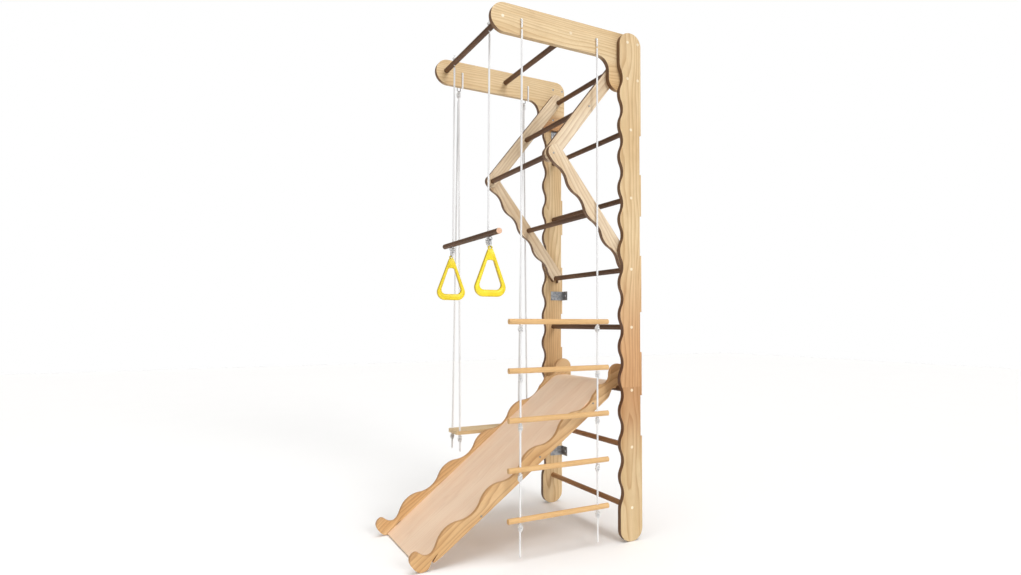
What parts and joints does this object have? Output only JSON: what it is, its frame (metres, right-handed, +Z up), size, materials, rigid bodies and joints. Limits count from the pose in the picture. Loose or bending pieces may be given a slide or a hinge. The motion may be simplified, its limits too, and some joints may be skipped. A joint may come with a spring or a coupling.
{
  "type": "monkey bars",
  "caption": "Wall-mounted wooden climbing frame with overhead rungs, a zigzag ladder, a rope ladder, a trapeze with hand rings, a plank swing and a hook-on slide.",
  "frame": {"origin": "midway between the two uprights, where the plane of the wall meets the floor", "axes": "+X along the rungs towards the side with the rope ladder, +Y into the wall, +Z up"},
  "size_m": [0.873, 1.0663, 2.4],
  "materials": {
    "upright_wood": "clear-lacquered pine with warm growth rings",
    "arm_wood": "clear-lacquered pine",
    "dark_rung_wood": "dark-stained hardwood, satin lacquer",
    "light_rung_wood": "clear-lacquered beech",
    "zigzag_wood": "clear-lacquered pale pine",
    "slide_board_wood": "clear-lacquered pine",
    "slide_bed_wood": "smooth lacquered plywood",
    "seat_wood": "clear-lacquered pine",
    "cap_plastic": "cream push-in cap",
    "ring_plastic": "moulded, semi-gloss",
    "galvanised_steel": "zinc plated",
    "screw_steel": "zinc plated",
    "rope": "twisted polyester rope",
    "knot_rope": "tied rope"
  },
  "bodies": {
    "frame": {"near_upright_upper": "upright_wood", "far_upright_upper": "upright_wood", "near_upright_lower": "upright_wood", "far_upright_lower": "upright_wood", "near_arm": "arm_wood", "far_arm": "arm_wood", "wall_rung_1": "dark_rung_wood", "wall_rung_2": "dark_rung_wood", "wall_rung_3": "dark_rung_wood", "wall_rung_4": "dark_rung_wood", "wall_rung_5": "dark_rung_wood", "wall_rung_6": "dark_rung_wood", "wall_rung_7": "dark_rung_wood", "top_rung": "dark_rung_wood", "middle_overhead_rung": "dark_rung_wood", "front_overhead_rung": "dark_rung_wood", "zigzag_apex_rung": "dark_rung_wood", "zigzag_upper_rung": "dark_rung_wood", "zigzag_lower_rung": "dark_rung_wood", "seam_dowels": "light_rung_wood", "near_zigzag_upper_board": "zigzag_wood", "far_zigzag_upper_board": "zigzag_wood", "near_zigzag_lower_board": "zigzag_wood", "far_zigzag_lower_board": "zigzag_wood", "cover_caps": "cap_plastic", "wall_brackets": "galvanised_steel", "swing_screw_eyes": "galvanised_steel", "rung_screws": "screw_steel", "arm_bolts": "screw_steel", "arm_insert_nuts": "screw_steel", "wood_screws": "screw_steel", "fixed_rope_ends": "rope", "top_knots": "knot_rope"},
    "trapeze": {"trapeze_bar": "dark_rung_wood", "near_trapeze_rope": "rope", "far_trapeze_rope": "rope", "trapeze_knots": "knot_rope", "ring_eyes": "galvanised_steel"},
    "near_ring": {"near_hand_ring": "ring_plastic", "near_ring_link": "galvanised_steel"},
    "far_ring": {"far_hand_ring": "ring_plastic", "far_ring_link": "galvanised_steel"},
    "plank_swing": {"swing_seat": "seat_wood", "swing_ropes": "rope", "swing_links": "galvanised_steel", "swing_top_knots": "knot_rope", "swing_seat_knots": "knot_rope"},
    "rope_ladder": {"ladder_rung_1": "light_rung_wood", "ladder_rung_2": "light_rung_wood", "ladder_rung_3": "light_rung_wood", "ladder_rung_4": "light_rung_wood", "ladder_rung_5": "light_rung_wood", "front_ladder_rope": "rope", "rear_ladder_rope": "rope", "ladder_knots": "knot_rope"},
    "slide": {"near_slide_board": "slide_board_wood", "far_slide_board": "slide_board_wood", "slide_bed": "slide_bed_wood", "slide_battens": "slide_board_wood", "slide_screws": "screw_steel"}
  },
  "joints": [
    {"name": "trapeze_swing", "type": "hinge", "parent": "frame", "child": "trapeze", "pos_m": [0, -0.713, 2.321], "axis": [1, 0, 0], "range_deg": [-60, 18]},
    {"name": "near_ring_swing", "type": "hinge", "parent": "trapeze", "child": "near_ring", "pos_m": [0.252, -0.713, 1.3813], "axis": [1, 0, 0], "range_deg": [-60, 60]},
    {"name": "far_ring_swing", "type": "hinge", "parent": "trapeze", "child": "far_ring", "pos_m": [-0.252, -0.713, 1.3813], "axis": [1, 0, 0], "range_deg": [-60, 60]},
    {"name": "plank_swing_hinge", "type": "hinge", "parent": "frame", "child": "plank_swing", "pos_m": [-0.403, -0.431, 2.2958], "axis": [0, 1, 0], "range_deg": [0, 40]},
    {"name": "rope_ladder_swing", "type": "hinge", "parent": "frame", "child": "rope_ladder", "pos_m": [0.383, -0.431, 2.3], "axis": [0, 1, 0], "range_deg": [-40, 0]},
    {"name": "slide_tilt", "type": "hinge", "parent": "frame", "child": "slide", "pos_m": [0, -0.0576, 0.697], "axis": [1, 0, 0], "range_deg": [-5, 0]}
  ]
}
